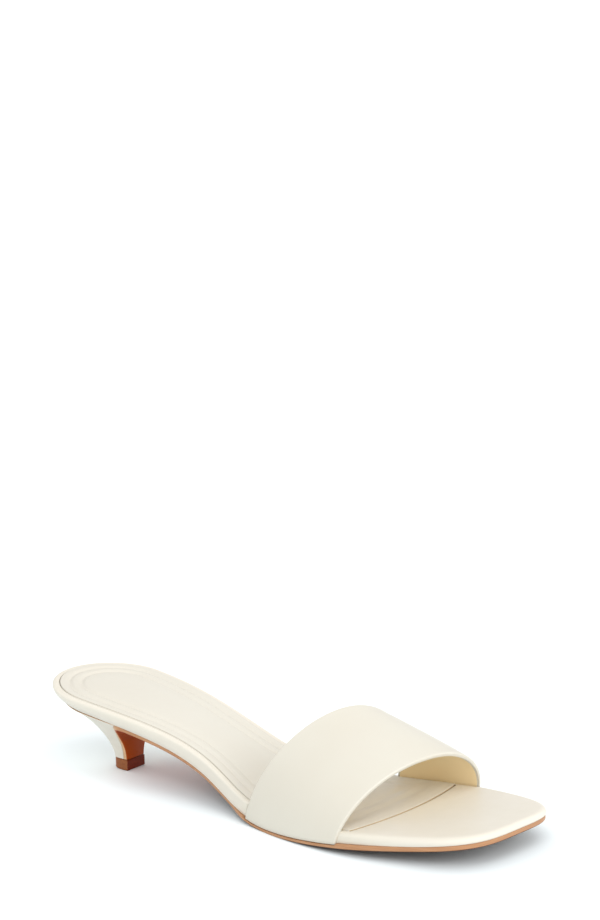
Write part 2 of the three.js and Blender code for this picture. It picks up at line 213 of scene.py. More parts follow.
def footbed_tuck(share):
    """How far the foot of the footbed's side lies in from its rim."""
    return lerp(FOOTBED_TUCK, BALL_TUCK, smooth(share, *TUCK_ENDS))


def outsole_thickness(share):
    return lerp(OUTSOLE_ARCH, OUTSOLE_BALL, smooth(share, *ARCH_TO_BALL))


BALL_STACK = footbed_thickness(BALL_SHARE) + GAP + OUTSOLE_BALL - BALL_FLAT


def footbed_top(x):
    return BALL_STACK + HEEL_RISE * rise(x / LENGTH) + TOE_SPRING * spring(x / LENGTH)


def footbed_under(x):
    return footbed_top(x) - footbed_thickness(x / LENGTH)


def outsole_top(x):
    return footbed_under(x) - GAP


def outline(share, side, inset):
    """Points of the footbed's outline, moved in by inset; side is -1 outer, 1 inner."""
    back = np.maximum(0, 1 - share / HEEL_SHARE)
    front = np.clip((share - 1 + CORNER_SHARE) / CORNER_SHARE, 0, 1)
    corner = (1 - front ** TOE_SQUARENESS) ** (1 / TOE_SQUARENESS)
    width = np.where(side < 0, outer_width(share), inner_width(share))
    y = side * (width - inset) * np.sqrt(1 - back ** 2) * corner
    x = inset + (LENGTH - 2 * inset) * share + TOE_SLANT * y * front ** 2
    return x, y


def middle_at(share, inset):
    """The x of a share on the middle line of an outline moved in by inset."""
    return inset + (LENGTH - 2 * inset) * share


def share_at(x, inset):
    return (x - inset) / (LENGTH - 2 * inset)


FIRST_ANGLE = 0.012  # of the heel's round, so that no row shrinks to a point
TOE_CROWDING = 1.6  # rows lie closer together towards the middle of the toe
TOE_REACH = 0.985


def stations(start, heel_steps, middle_steps, toe_steps):
    """Shares along the length, even round the heel and round the corners of the toe."""
    parts = []
    if heel_steps:
        angle = np.linspace(FIRST_ANGLE, math.pi / 2, heel_steps, endpoint=False)
        parts.append(HEEL_SHARE * (1 - np.cos(angle)))
        start = HEEL_SHARE
    parts.append(np.linspace(start, 1 - CORNER_SHARE, middle_steps, endpoint=False))
    angle = math.pi / 2 * (1 - np.linspace(0, TOE_REACH, toe_steps)) ** TOE_CROWDING
    parts.append(1 - CORNER_SHARE * (1 - np.cos(angle) ** (2 / TOE_SQUARENESS)))
    return np.concatenate(parts)


# Meshes
TIP_LOW, TIP_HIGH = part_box("top_piece")

# Where the drawing's origin lies in the frame, from the heel tip's own place there
ORIGIN = np.array([
    TIP_HIGH.x / MM - BREAST,
    (TIP_LOW.y + TIP_HIGH.y) / 2 / MM - TIP_OFFSET,
    TIP_LOW.z / MM,
])


def new_mesh(name, points, faces, sharp):
    """An object from points in the drawing's millimetres, smooth but for its sharp edges."""
    mesh = bpy.data.meshes.new(name)
    mesh.from_pydata(((np.asarray(points) + ORIGIN) * MM).tolist(), [], faces)
    mesh.validate()
    mesh.shade_smooth()
    mesh.set_sharp_from_angle(angle=math.radians(sharp))
    made = bpy.data.objects.new(name, mesh)
    bpy.context.scene.collection.objects.link(made)
    return made


def ring_faces(rows, columns):
    """Quads between rings of points, each ring closed."""
    faces = []
    for row in range(rows - 1):
        for column in range(columns):
            a = row * columns + column
            b = row * columns + (column + 1) % columns
            faces.append((a, b, b + columns, a + columns))
    return faces


def ladder(start, columns, flip):
    """Quads across a ring whose second half mirrors its first, to close a loft's end."""
    faces = []
    for i in range(columns // 2 - 1):
        j = columns - 1 - i
        face = (start + i, start + i + 1, start + j - 1, start + j)
        faces.append(face[::-1] if flip else face)
    return faces


def loft(name, rings, sharp):
    """A closed body through mirrored rings of points, an array of rows, columns and x, y, z."""
    rows, columns, _ = rings.shape
    faces = ring_faces(rows, columns)
    faces += ladder(0, columns, False)
    faces += ladder((rows - 1) * columns, columns, True)
    made = new_mesh(name, rings.reshape(-1, 3), faces, sharp)
    fix_normals(made)
    return made


def fix_normals(made):
    """Turns a closed mesh right side out."""
    work = bmesh.new()
    work.from_mesh(made.data)
    bmesh.ops.recalc_face_normals(work, faces=work.faces)
    if work.calc_volume(signed=True) < 0:
        bmesh.ops.reverse_faces(work, faces=work.faces)
    work.to_mesh(made.data)
    work.free()


def stack(x, y, z):
    return np.stack(np.broadcast_arrays(x, y, z), axis=-1)


def both_sides(half):
    """Rings from a function of the side, -1 outer and 1 inner, mirrored into one loop."""
    return np.concatenate([half(-1), half(1)[:, ::-1]], axis=1)


def face_places(rings):
    """The row and the column of each face between a loft's rings."""
    rows, columns, _ = rings.shape
    face = np.arange((rows - 1) * columns)
    return face // columns, face % columns


def material_numbers(made, chosen, end_faces=0):
    """1 for the chosen faces between the rings and for the last end faces, 0 for the rest."""
    index = np.zeros(len(made.data.polygons), dtype=np.int32)
    index[:len(chosen)] = chosen
    index[len(index) - end_faces:] = 1
    return index


# Strap: its folded edges, its feet and its lining
STRAP_BULGE = 1.1
BULGE_ROUND = 1.5
FOOT_LAP = 0.9  # how far the strap's feet lap down over the sole's edge
LAP_SHARE = 0.07  # of the way over the strap, in which the lap fades out
FOOT_TUCK = 0.5  # how far the very foot is pressed in against the sole
FOOT_TUCK_HEIGHT = 2.0
FOOT_UPRIGHT = 0.01  # share of the way over, in which the wall turns upright
FOLD_ROUND = 0.75  # rounding of the strap's folded edges
FOLD_STEPS = 7
LINING_THICKNESS = 0.25
LINING_EDGE = 1.0  # where the lining starts, in from the fold
LINING_LIP = (0.05, 0.02)  # breadth and depth of the small step at its cut edge
STRAP_STEPS = 220
STRAP_LANES = 70
FEET_CROWDING = 0.45
NORMAL_STEP = 0.002

# Under the fold: distance in from the edge, and height over the turned leather's inner face
TURNED_EDGE = [(0.02, 0.35), (0.12, 0.1), (0.4, 0.0), (0.85, 0.05)]


def strap_edge(v, t):
    """The plain outer face: v from the rear edge to the front, t over from the outer foot."""
    v, t = np.broadcast_arrays(v, t)

    def between(column):
        rear, front = STRAP_EDGES[column]
        return lerp(rear, front, v)

    outer = t < 0.5
    sideways = np.where(outer, between("sideways, outer"), between("sideways, inner"))
    upwards = np.where(outer, between("upwards, outer"), between("upwards, inner"))
    near_x, near_y = outline(between("outer foot"), -1, -STRAP_PROUD)
    far_x, far_y = outline(between("inner foot"), 1, -STRAP_PROUD)
    near = stack(near_x, near_y, footbed_under(near_x))
    far = stack(far_x, far_y, footbed_under(far_x))
    cosine = np.cos(math.pi * t)
    across = -np.sign(cosine) * np.abs(cosine) ** sideways
    height = between("height") * np.maximum(0, np.sin(math.pi * t)) ** upwards
    place = (near + far) / 2 + (far - near) / 2 * across[..., None]
    lap = FOOT_LAP * (1 - smooth(np.minimum(t, 1 - t), 0, LAP_SHARE))
    return place + stack(between("lean") * height, 0, height - lap)


def strap_point(v, t, depth):
    """A point at a depth into the wall, which swells a little between its edges."""
    v, t, depth = np.broadcast_arrays(v, t, depth)
    inside = np.clip(t, NORMAL_STEP, 1 - NORMAL_STEP)
    over = strap_edge(v, inside + NORMAL_STEP) - strap_edge(v, inside - NORMAL_STEP)
    along = strap_edge(np.ones_like(v), inside) - strap_edge(np.zeros_like(v), inside)
    out = np.cross(along, over)
    out[..., 2] *= smooth(np.minimum(t, 1 - t), -FOOT_UPRIGHT, FOOT_UPRIGHT)
    out /= np.linalg.norm(out, axis=-1, keepdims=True)
    arch = np.maximum(0, np.sin(math.pi * t)) ** BULGE_ROUND
    bulge = STRAP_BULGE * 4 * v * (1 - v) * arch
    return strap_edge(v, t) + out * (bulge - depth)[..., None]


def fold_section():
    """The outer face's end: distance in from the edge and depth, round the fold."""
    angles = np.linspace(0, math.pi / 2, FOLD_STEPS)[::-1]
    return [(FOLD_ROUND * (1 - math.sin(a)), FOLD_ROUND * (1 - math.cos(a))) for a in angles]


def lining_section():
    """The inner face's end: the turned leather, then the step up to the lining."""
    turned = STRAP_WALL - LINING_THICKNESS
    breadth, depth = LINING_LIP
    section = [(distance, turned - height) for distance, height in TURNED_EDGE]
    section.append((LINING_EDGE, turned + depth))
    section.append((LINING_EDGE + breadth, STRAP_WALL))
    return section


def make_strap():
    even = np.linspace(0, 1, STRAP_STEPS)
    t = lerp(even, (1 - np.cos(math.pi * even)) / 2, FEET_CROWDING)
    width = np.linalg.norm(strap_edge(0.0, t) - strap_edge(1.0, t), axis=-1)
    height = np.minimum(t, 1 - t) * math.pi * STRAP_EDGES["height"][0]
    tuck = FOOT_TUCK * np.maximum(0, 1 - height / FOOT_TUCK_HEIGHT) ** 2
    lanes = np.linspace(0, 1, STRAP_LANES)[1:-1]

    def wall_face(section, deeper):
        """Lanes from the rear edge to the front, with the section at each edge."""
        reach, depth = section[-1]
        start, end = reach / width, 1 - reach / width
        rear = [strap_point(d / width, t, e + deeper) for d, e in section]
        middle = [strap_point(lerp(start, end, s), t, depth + deeper) for s in lanes]
        front = [strap_point(1 - d / width, t, e + deeper) for d, e in section[::-1]]
        return rear + middle + front

    under = lining_section()
    outer = wall_face(fold_section(), tuck)
    inner = wall_face(under, 0)
    rings = np.stack(outer + inner[::-1], axis=1)
    made = loft("strap_leather", rings, sharp=40)
    _, column = face_places(rings)
    lining = (column >= len(outer) + len(under) - 1) & (column < rings.shape[1] - len(under))
    return made, material_numbers(made, lining)


# Sock: the pressed double ring, its padding and its dropped front edge
GROOVES_BACK = (4.3, 9.7)  # how far the two grooves run in from the sock's edge
GROOVES_SIDE = (4.6, 9.4)
GROOVES_FRONT = (12.0, 19.0)
GROOVES_SPREAD = (15.0, 75.0)  # x, from their distance at the back to that at the sides
GROOVES_CORNER = 6.0
GROOVE_WIDTH = 1.1
GROOVE_DEPTH = 0.72
GROOVE_WIDENS = 1.6  # broader ahead, under the strap
WIDENS_ENDS = (15.0, 40.0)  # distances from the sock's front
PADDING = 0.35
PADDING_EASE = 9.0
SOCK_FRONT_DROP = 0.28
FRONT_EASE = 5.0
BOW_BEGINS = 0.16  # share of the length behind the front, over which the rows come to bow
OUTLINE_ROWS = (60, 260, 4)  # of the outline that distances to the edge are measured from
SOCK_ROWS = 300
SOCK_HEEL_ROWS = 60
SOCK_COLUMNS = 150
SOCK_FIRST_ANGLE = 0.03
SOCK_EDGE = 0.35
SOCK_RIM = [(0.128, 0.6), (0.36, 1.0), (1.12, 1.0)]  # drops, and shares of the edge's breadth
NOSE_OUT = 0.08
NOSE_DROP = 0.12
SOCK_DEPTH = 0.7


def sock_front(y):
    return SOCK_FRONT + SOCK_BOW * (1 - (2 * y / BALL_WIDTH) ** 2)


def edge_distance(x, y):
    """Distance to the sock's edge at its sides and back."""
    share = stations(0, *OUTLINE_ROWS)
    nearest = np.full(x.shape, np.inf)
    for side in (-1, 1):
        points = np.stack(outline(share, side, SOCK_INSET), axis=-1)
        for (ax, ay), (bx, by) in zip(points[:-1], points[1:]):
            size = (bx - ax) ** 2 + (by - ay) ** 2
            s = np.clip(((x - ax) * (bx - ax) + (y - ay) * (by - ay)) / size, 0, 1)
            away = np.hypot(x - ax - s * (bx - ax), y - ay - s * (by - ay))
            nearest = np.minimum(nearest, away)
    return nearest


def sock_relief(x, y):
    """Height of the sock's padding over its flat top."""
    sides = edge_distance(x, y)
    ahead = sock_front(y) - x
    toward_sides = smooth(x, *GROOVES_SPREAD)
    width = GROOVE_WIDTH + GROOVE_WIDENS * (1 - smooth(ahead, *WIDENS_ENDS))
    relief = np.zeros_like(x)
    for back, side, front in zip(GROOVES_BACK, GROOVES_SIDE, GROOVES_FRONT):
        inside = softer_min(sides - lerp(back, side, toward_sides), ahead - front, GROOVES_CORNER)
        relief -= GROOVE_DEPTH * np.exp(-(inside / width) ** 2)
    relief += PADDING * smooth(inside, 0, PADDING_EASE)
    return relief - SOCK_FRONT_DROP * (1 - smooth(ahead, 0, FRONT_EASE))


def make_sock():
    front_share = share_at(SOCK_FRONT, SOCK_INSET)
    angle = np.linspace(SOCK_FIRST_ANGLE, math.pi / 2, SOCK_HEEL_ROWS, endpoint=False)
    heel = HEEL_SHARE * (1 - np.cos(angle))
    rest = np.linspace(HEEL_SHARE, front_share, SOCK_ROWS - SOCK_HEEL_ROWS)
    share = np.concatenate([heel, rest])
    bow = smooth(share, front_share - BOW_BEGINS, front_share)
    fraction = np.linspace(0, 1, SOCK_COLUMNS // 2 + 1)[1:] - 1 / SOCK_COLUMNS
    fraction = fraction / fraction[-1]

    def half(side):
        edge_x, edge_y = outline(share, side, SOCK_INSET + SOCK_EDGE)
        y = edge_y[:, None] * fraction
        x = edge_x[:, None] + bow[:, None] * (sock_front(y) - SOCK_FRONT)
        top = stack(x, y, footbed_top(x) + SOCK_PROUD + sock_relief(x, y))
        edge_x, edge_y = outline(share, side, SOCK_INSET)
        edge_x = edge_x + bow * (sock_front(edge_y) - SOCK_FRONT)
        rim = []
        for drop, out in SOCK_RIM:
            x = lerp(top[:, -1, 0], edge_x, out)
            y = lerp(top[:, -1, 1], edge_y, out)
            rim.append(stack(x, y, footbed_top(x) + SOCK_PROUD - drop))
        return np.concatenate([top, np.stack(rim, axis=1)], axis=1)

    rings = both_sides(half)
    nose = rings[-1:] + (NOSE_OUT, 0, -NOSE_DROP)
    low = rings[-1:] + (NOSE_OUT, 0, 0)
    low[..., 2] = footbed_top(low[..., 0]) - SOCK_DEPTH
    rings = np.concatenate([rings, nose, low])
    made = loft("sock_leather", rings, sharp=60)
    row, _ = face_places(rings)
    # The sock's front face, which runs down into the gap before the pocket's wall, is darker: its
    # raw cut edge, and painted shade for the gap.
    return made, material_numbers(made, row == len(rings) - 2)


# Footbed: its rounded rim, the pocket for the sock and the side that the strap presses in
RIM_ROUND = 1.2
TOE_RIM_ROUND = 2.3
RIM_SOFTENS = (0.62, 0.84)
RIM_DEGREES = range(0, 91, 10)
SIDE_ROWS = 15
SIDE_CURVE = 1.8
STRAP_PRESS = 1.75
COVER_EASE = (0.2, 0.9)  # outside and inside the ends of the strap's foot
POCKET_PAST = 0.9  # how far the pocket runs past the sock's front
POCKET_STEP = 0.0006  # share of the length that the pocket's front wall takes
POCKET_ROOM = 0.2
POCKET_RIM = [(0.25, 0.02), (0.08, 0.06), (0.0, 0.16)]  # drops, and how far out they lie
BOW_ENDS = 0.14  # share of the length ahead of the pocket, over which the rows straighten
FOOTBED_ROWS = (56, 300, 70)  # round the heel, along the middle and round the toe
FOOTBED_COLUMNS = 36
BASE_FRACTIONS = np.linspace(1, 0.04, 6)[1:]


def foot_ends(side):
    """Shares along the length between which the strap's foot stands on a side."""
    return STRAP_EDGES["outer foot" if side < 0 else "inner foot"]


def strap_cover(x, height, side):
    """1 where the strap's foot covers the footbed's side, else 0."""
    rear, front = (outline(share, side, -STRAP_PROUD)[0] for share in foot_ends(side))
    rear = rear + STRAP_EDGES["lean"][0] * height
    front = front + STRAP_EDGES["lean"][1] * height
    out, within = COVER_EASE
    return smooth(x, rear - out, rear + within) * (1 - smooth(x, front - within, front + out))


def side_point(share, side, inset, drop):
    """A point of the footbed's side, pressed in where the strap covers it."""
    x, _ = outline(share, side, inset)
    height = footbed_thickness(share) - drop
    x, y = outline(share, side, inset + STRAP_PRESS * strap_cover(x, height, side))
    return stack(x, y, footbed_top(x) - drop)


def pocket_columns(share, side, pocket, bow):
    """The footbed's top from the middle out, lower in the sock's pocket, and its rim."""
    edge_x, edge_y = outline(share, side, SOCK_INSET - GAP)
    middle = middle_at(share, SOCK_INSET - GAP)
    fraction = np.linspace(0, 1, FOOTBED_COLUMNS + 1)[1:]
    fraction = (fraction - fraction[0] / 2) / (1 - fraction[0] / 2)
    columns = []
    for f in fraction:
        y = edge_y * f
        x = lerp(middle, edge_x, f) + bow * (sock_front(y) - SOCK_FRONT)
        columns.append(stack(x, y, footbed_top(x) - pocket))
    x = edge_x + bow * (sock_front(edge_y) - SOCK_FRONT)
    for drop, out in POCKET_RIM:
        y = edge_y + side * out * (pocket > 0)
        columns.append(stack(x, y, footbed_top(x) - np.minimum(drop, pocket)))
    return columns


def side_columns(share, side):
    """The rounded rim, and the side that curves in down to the sole."""
    rim = lerp(RIM_ROUND, TOE_RIM_ROUND, smooth(share, *RIM_SOFTENS))
    foot = footbed_thickness(share) + GAP - SEAM
    columns = []
    for degrees in RIM_DEGREES:
        inset = rim * (1 - math.sin(math.radians(degrees)))
        drop = rim * (1 - math.cos(math.radians(degrees)))
        columns.append(side_point(share, side, inset, drop))
    for depth in np.linspace(0, 1, SIDE_ROWS)[1:]:
        inset = footbed_tuck(share) * depth ** SIDE_CURVE
        columns.append(side_point(share, side, inset, lerp(rim, foot, depth)))
    return columns


def base_columns(share, last):
    """The underside, from the foot of the side in to the middle."""
    middle = middle_at(share, footbed_tuck(share))
    x, y, z = last[:, 0], last[:, 1], last[:, 2]
    return [stack(lerp(middle, x, f), y * f, z) for f in BASE_FRACTIONS]


def make_footbed():
    front_share = share_at(SOCK_FRONT + POCKET_PAST, SOCK_INSET)
    share = stations(0, *FOOTBED_ROWS)
    before = share[share < front_share - POCKET_STEP]
    after = share[share > front_share + 2 * POCKET_STEP]
    share = np.concatenate([before, [front_share, front_share + POCKET_STEP], after])
    depth = SOCK_THICKNESS - SOCK_PROUD + POCKET_ROOM
    pocket = np.where(share <= front_share, depth, 0.0)
    bow = smooth(share, front_share - BOW_BEGINS, front_share)
    bow = bow * (1 - smooth(share, front_share, front_share + BOW_ENDS))

    def half(side):
        columns = pocket_columns(share, side, pocket, bow) + side_columns(share, side)
        columns += base_columns(share, columns[-1])
        return np.stack(columns, axis=1)

    return loft("footbed_leather", both_sides(half), sharp=50)


# Outsole: its cut edge, and the flap that runs round the bend and down the heel's front
TIP_TOP = TOP_PIECE + GAP
BEND_X = BREAST - BREAST_FLAP + BREAST_ROUND
BEND_SLOPE = (outsole_top(BEND_X + 1) - outsole_top(BEND_X - 1)) / 2
BEND_Z = outsole_top(BEND_X) - BREAST_ROUND * math.hypot(1, BEND_SLOPE)
BEND_END = math.pi / 2 - math.atan(BEND_SLOPE)
FLAP_STEPS = 24
BEND_STEPS = 40
OUTSOLE_ROWS = (0, 300, 70)  # none round the heel, then along the middle and round the toe
STRAP_ROOM = (0.05, 0.15)  # shares behind and ahead of the foot, in which the sole widens
LAP_EASE = 0.004
LAP_SPREAD = 0.1  # keeps the edge's strips apart under the strap's foot

# The cut edge down from the sole's top: the face that a strip is measured from, its
# distance from that face, and how far the edge is rounded in there
CUT_EDGE = [
    ("inner", 0.0, 0.2),
    ("inner", 0.12, 0.04),
    ("inner", 0.3, 0.0),
    ("outer", 0.75, 0.0),
    ("outer", 0.45, 0.06),
    ("outer", 0.2, 0.25),
    ("outer", 0.0, 0.6),
]
STAIN_AND_SHADE_STRIPS = 2  # strips at the lower end of the cut edge that are stained like the face, and also painted shade: their brown stands for the contact shadow under the edge

# How the flap is skived, with heights over the bend's centre
THINNING = (0.2, 0.8)  # at the heel tip and at the bend
THINNEST = 3.0
THINNING_ENDS = (5.5, 10.8)
BEND_FILL = 0.4  # how far the sole's inner face fills the corner between heel and footbed
FILL_BEGINS = (10.4, 11.6)


def outsole_inset(share, side):
    """How far in the sole's edge lies: out under the strap's foot, else with the footbed."""
    rear, front = foot_ends(side)
    behind, ahead = STRAP_ROOM
    room = smooth(share, rear - behind, rear) * (1 - smooth(share, front, front + ahead))
    return lerp(footbed_tuck(share), -STRAP_PROUD, room)


def strap_lap(share, side):
    """How much lower the sole's top is where a foot of the strap stands on it."""
    rear, front = foot_ends(side)
    under = smooth(share, rear - LAP_EASE, rear) * (1 - smooth(share, front, front + LAP_EASE))
    return FOOT_LAP * under


def cut_depth(face, distance, thickness):
    """Depth of a strip of the cut edge under the sole's inner face."""
    if face == "outer":
        return thickness - distance
    return np.full_like(thickness, distance)


def flap_width(side, x, z, bevel):
    """The flap's half width, which follows the heel's own flare."""
    place = np.maximum(x, BREAST - BREAST_FLAP)
    inset = outsole_inset(place / LENGTH, side) + bevel
    t = np.clip((z - TIP_TOP) / (outsole_top(place) - TIP_TOP), 0, 1)
    tip = TIP_OFFSET + side * (TIP_WIDTH / 2 - bevel)
    seat = outline(share_at(place, inset), side, inset)[1]
    return lerp(tip, seat, t ** (OUTER_FLARE if side < 0 else INNER_FLARE))


def flap_thinning(z):
    """How much thinner than the sole the flap is: it is skived towards the bend."""
    tip, bend = THINNING
    up = z - BEND_Z
    skived = lerp(tip, bend, smooth(z, TIP_TOP, BEND_Z + THINNEST))
    filled = BEND_FILL * smooth(up, *FILL_BEGINS)
    return skived * (1 - smooth(up, *THINNING_ENDS)) - filled


def flap_faces():
    """The inner and outer face of the sole up the heel's front and round the bend."""
    z = np.linspace(TIP_TOP, BEND_Z, FLAP_STEPS, endpoint=False)
    back = np.full_like(z, BREAST - BREAST_FLAP)
    angle = np.linspace(0, BEND_END, BEND_STEPS, endpoint=False)
    thickness = np.linspace(BREAST_FLAP, OUTSOLE_ARCH, BEND_STEPS, endpoint=False)

    def face(straight, radius):
        bend = BEND_X - radius * np.cos(angle), BEND_Z + radius * np.sin(angle)
        return np.concatenate([np.stack([straight, z], axis=-1), np.stack(bend, axis=-1)])

    inner = face(back, BREAST_ROUND)
    outer = face(back + BREAST_FLAP, BREAST_ROUND - thickness)
    thickness = np.linalg.norm(outer - inner, axis=-1)
    inner = lerp(inner, outer, (flap_thinning(inner[:, 1]) / thickness)[:, None])
    return inner, outer


def make_outsole():
    inner, outer = flap_faces()
    flap_thickness = np.linalg.norm(outer - inner, axis=-1)
    bend_x = BEND_X - BREAST_ROUND * math.cos(BEND_END)
    start = share_at(bend_x, footbed_tuck(bend_x / LENGTH))
    share = stations(start, *OUTSOLE_ROWS)
    thickness = outsole_thickness(share)

    def flap_strip(side, face, distance, bevel):
        down = cut_depth(face, distance, flap_thickness) / flap_thickness
        place = lerp(inner, outer, down[:, None])
        width = flap_width(side, inner[:, 0], inner[:, 1], bevel)
        return stack(place[:, 0], width, place[:, 1])

    def sole_strip(side, face, distance, bevel):
        spread = LAP_SPREAD * (distance if face == "inner" else -distance)
        x, y = outline(share, side, outsole_inset(share, side) + bevel)
        depth = cut_depth(face, distance, thickness)
        depth = np.maximum(depth, strap_lap(share, side) + spread)
        return stack(x, y, np.maximum(0, outsole_top(x) - np.minimum(depth, thickness)))

    def half(side):
        strips = []
        for strip in CUT_EDGE:
            strips.append(np.concatenate([flap_strip(side, *strip), sole_strip(side, *strip)]))
        return np.stack(strips, axis=1)

    rings = both_sides(half)
    made = loft("outsole_leather", rings, sharp=35)
    _, column = face_places(rings)
    # The lowest strips and the underside take the face's brown: a stain on the edge's rounded
    # foot, and painted shade for the contact shadow under it.
    stained = np.abs(column - (len(CUT_EDGE) - 1)) <= STAIN_AND_SHADE_STRIPS
    return made, material_numbers(made, stained, end_faces=STAIN_AND_SHADE_STRIPS)


# Heel: the block's cover, with a turned upper edge, and the tip under it
BEAD = 0.4  # how far the heel cover's turned upper edge stands out
BEAD_DROP = 0.65
BEAD_ROUND = 0.45
HEEL_HEIGHT = 27.0
SEAT_LIFT = 0.3  # how far the cover's edge comes up against the footbed's rounded side
LIFT_ENDS = (9.0, 40.0)  # from the back, where the lift begins to end and has ended
CREASE_SHADE_ROWS = 4  # the thin strip at the cover's top, painted tan as the shade in the crease under the footbed
EDGE_SHARE = 0.93  # of the heel's height, above which its rows lie closer together
HEEL_ROWS = 56
EDGE_ROWS = 26
RING_POINTS = 121
FRONT_TRIES = 40
FRONT_STEP = 0.4

# Heights up the heel tip, and how far its arrises are ground in there
TIP_ARRISES = [
    (0.0, 0.5),
    (0.1, 0.22),
    (0.35, 0.05),
    (0.7, 0.0),
    (TOP_PIECE - 0.4, 0.0),
    (TOP_PIECE - 0.1, 0.08),
    (TOP_PIECE, 0.25),
]


def heel_front(z):
    """The x of the heel's front at a height, behind the flap and its bend."""
    radius = BREAST_ROUND + SEAM - flap_thinning(z)
    up = np.clip(z - BEND_Z, 0, radius)
    return BEND_X - np.sqrt(radius ** 2 - up ** 2)


def front_at(t):
    """The x of the heel's front at a share of its height, where both depend on each other."""
    front = heel_front(TIP_TOP)
    for _ in range(FRONT_TRIES):
        height = lerp(TIP_TOP, footbed_under(front) - GAP, t)
        front = lerp(front, heel_front(height), FRONT_STEP)
    return front


def bead(t):
    """The turned edge of the heel cover, a thin roll just under the footbed."""
    drop = (1 - t) * HEEL_HEIGHT
    return BEAD * math.exp(-((drop - BEAD_DROP) / BEAD_ROUND) ** 2)


def squared(value):
    """A sine or cosine, for a ring that is squarer than an ellipse."""
    return np.sign(value) * np.abs(value) ** (2 / TIP_SQUARENESS)


def half_turn():
    """Angles from the outer end of the front to the inner one, without the very back."""
    angle = np.pi * (np.linspace(0, 1, RING_POINTS) - 0.5)
    return angle[np.abs(angle) > 1e-6]


def heel_ring(front, t, angle):
    """A ring round the heel at a share of its height, squarish at the tip."""
    depth = front - BREAST + TIP_LENGTH
    tip_x = front - depth * squared(np.cos(angle))
    tip_y = TIP_OFFSET + TIP_WIDTH / 2 * squared(np.sin(angle))
    side = np.sign(angle)
    inset = SEAT_INSET - bead(t)
    seat_share = share_at(front, inset) * (1 - np.cos(angle))
    seat_x, seat_y = outline(seat_share, side, inset)
    flare = t ** np.where(side < 0, OUTER_FLARE, INNER_FLARE)
    lift = SEAT_LIFT * (1 - smooth(seat_x, *LIFT_ENDS)) * smooth(t, EDGE_SHARE, 1)
    z = lerp(TIP_TOP, footbed_under(seat_x) - GAP, t) + lift
    return stack(lerp(tip_x, seat_x, t ** BACK_FLARE), lerp(tip_y, seat_y, flare), z)


def make_heel():
    heights = np.concatenate([
        np.linspace(0, EDGE_SHARE, HEEL_ROWS, endpoint=False),
        np.linspace(EDGE_SHARE, 1, EDGE_ROWS),
    ])
    rings = np.array([heel_ring(front_at(t), t, half_turn()) for t in heights])
    made = loft("heel_cover", rings, sharp=40)
    row, _ = face_places(rings)
    # The top rows and the cover's top end faces take a darker tan: painted shade for the crease
    # under the footbed.
    crease_shade = row >= len(rings) - 1 - CREASE_SHADE_ROWS
    return made, material_numbers(made, crease_shade, end_faces=rings.shape[1] // 2 - 1)


def make_top_piece():
    middle = BREAST - TIP_LENGTH / 2
    base = heel_ring(BREAST, 0.0, half_turn())
    rings = []
    for z, bevel in TIP_ARRISES:
        scale = 1 - 2 * bevel / TIP_WIDTH
        x = lerp(middle, base[:, 0], scale)
        y = lerp(TIP_OFFSET, base[:, 1], scale)
        rings.append(stack(x, y, z))
    rings = np.array(rings)
    made = loft("heel_tip", rings, sharp=50)
    _, column = face_places(rings)
    return made, material_numbers(made, column == rings.shape[1] - 1)


# Materials: a lighter and a darker colour of each, as a screen shows them
CREAM = ((216, 210, 198), (213, 207, 193))
STRAP_CREAM = ((207, 203, 191), (205, 200, 187))
LINING = ((252, 232, 190), (249, 226, 181))
SOCK_CREAM = ((208, 204, 193), (206, 201, 189))
# Partly painted shade: the sock's raw cut front edge, darkened for the dark line of the gap in
# front of it.
SOCK_CUT_EDGE_AND_SHADE = ((196, 174, 142), (186, 164, 132))
# Painted shade: a darker tan for the crease where the heel cover meets the footbed.
CREASE_SHADE_TAN = ((206, 166, 126), (198, 156, 116))
FLAP_EDGE = ((214, 176, 134), (202, 160, 116))
ARCH_EDGE = ((179, 132, 93), (167, 118, 79))
HEEL_STAIN = ((166, 71, 10), (145, 57, 6))
TREAD_STAIN = ((82, 52, 34), (70, 43, 28))
TIP_SIDE = ((146, 88, 50), (134, 78, 44))
TIP_FRONT = ((118, 38, 5), (103, 29, 3))

# Where a colour turns into the next one, along the shoe in metres
EDGE_DARKENS = (-0.0815, -0.073)  # from the flap towards the arch
STAIN_DARKENS = (-0.072, -0.02)  # from the heel's front towards the tread


